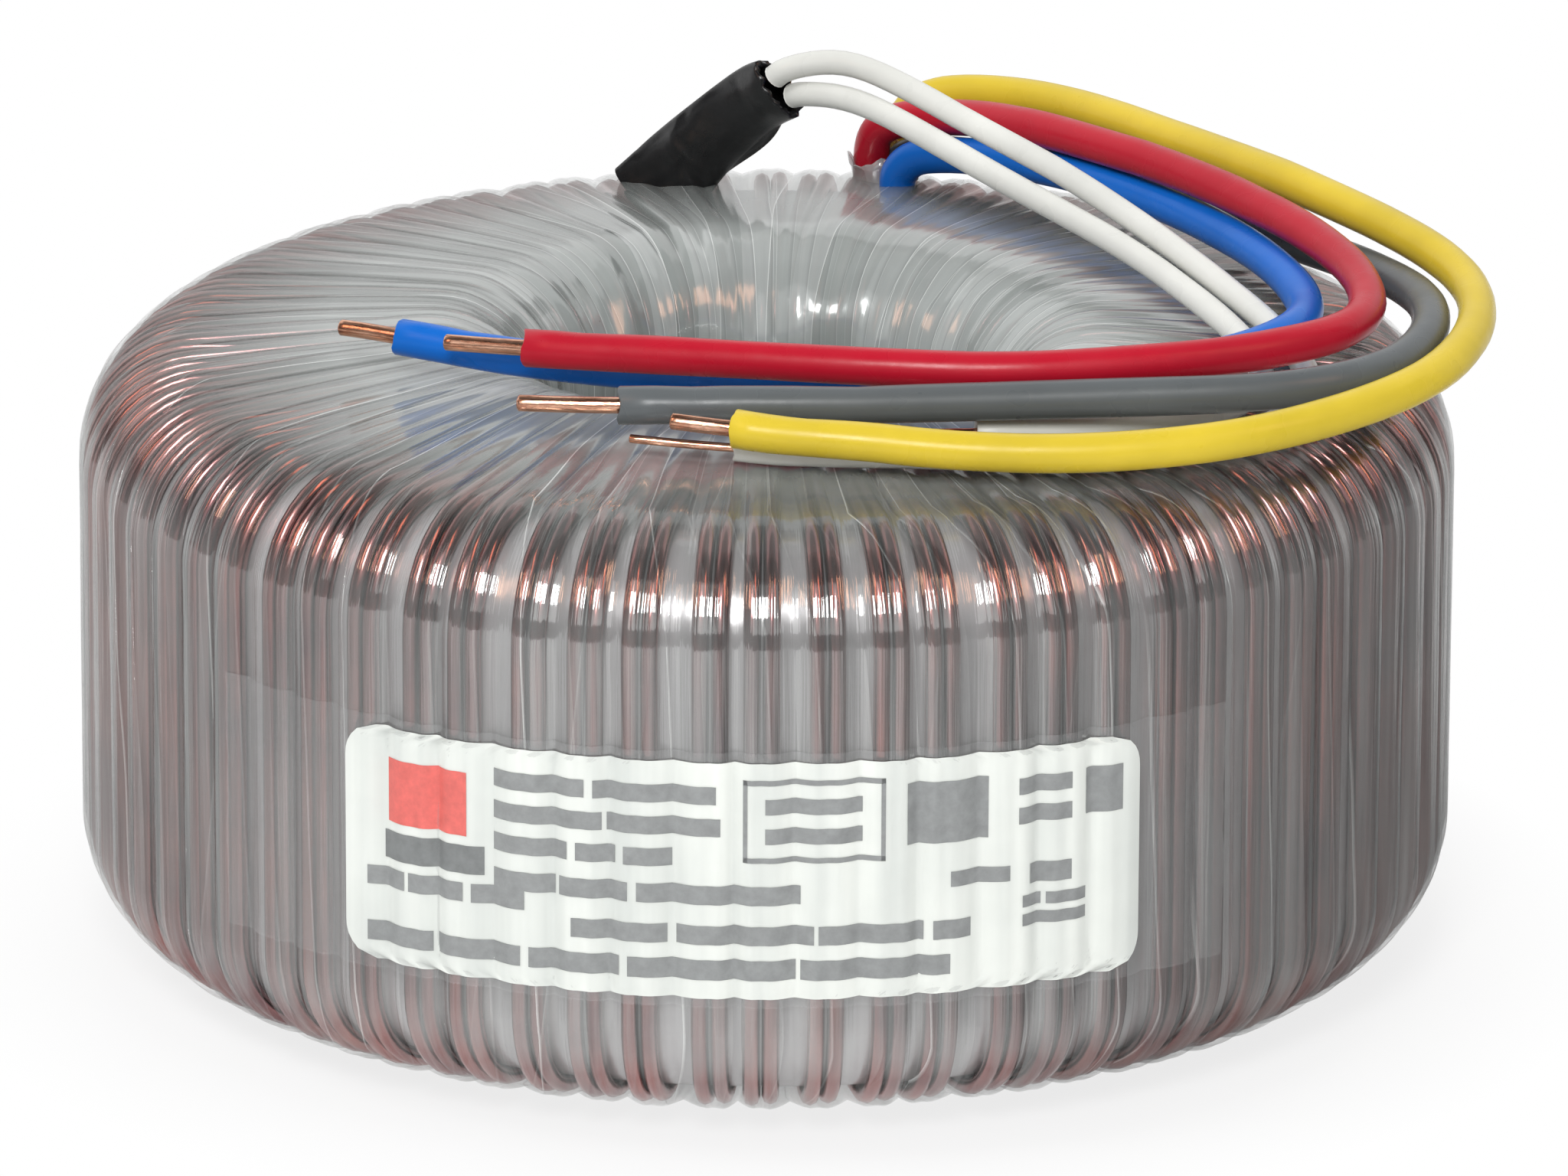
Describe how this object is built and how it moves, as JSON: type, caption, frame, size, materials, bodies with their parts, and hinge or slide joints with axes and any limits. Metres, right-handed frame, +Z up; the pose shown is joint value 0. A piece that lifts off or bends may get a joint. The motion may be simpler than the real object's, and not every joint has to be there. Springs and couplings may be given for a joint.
{
  "type": "toroidal transformer",
  "caption": "Toroidal mains transformer in clear ribbed film with coloured flying leads.",
  "frame": {"origin": "centre of the face it stands on", "axes": "+Z up along the hole, -Y towards the label, the leads leave at the +Y side and loop over +X"},
  "size_m": [0.1379, 0.135, 0.0786],
  "materials": {
    "core_steel": "satin",
    "cap_plastic": "matte",
    "winding_enamel": "gloss",
    "insulation_film": "gloss",
    "wrap_film": "gloss",
    "clear_tape": "gloss",
    "label_paper": "satin",
    "sleeve_black": "satin",
    "pvc_white": "gloss",
    "pvc_red": "gloss",
    "pvc_blue": "gloss",
    "pvc_yellow": "gloss",
    "pvc_grey": "gloss",
    "bare_copper": "satin"
  },
  "bodies": {
    "root": {"core": "core_steel", "core_cap_top": "cap_plastic", "core_cap_bottom": "cap_plastic", "primary_winding": "winding_enamel", "interwinding_tape": "insulation_film", "secondary_winding_a": "winding_enamel", "secondary_winding_b": "winding_enamel", "film_wrap": "wrap_film", "label_tape": "clear_tape", "label": "label_paper", "primary_sleeve": "sleeve_black", "lead_root_tape": "clear_tape", "lead_white_1": "pvc_white", "lead_white_2": "pvc_white", "lead_red": "pvc_red", "lead_blue": "pvc_blue", "lead_yellow": "pvc_yellow", "lead_grey": "pvc_grey", "tip_white_1": "bare_copper", "tip_white_2": "bare_copper", "tip_red": "bare_copper", "tip_blue": "bare_copper", "tip_yellow": "bare_copper", "tip_grey": "bare_copper"}
  },
  "joints": []
}
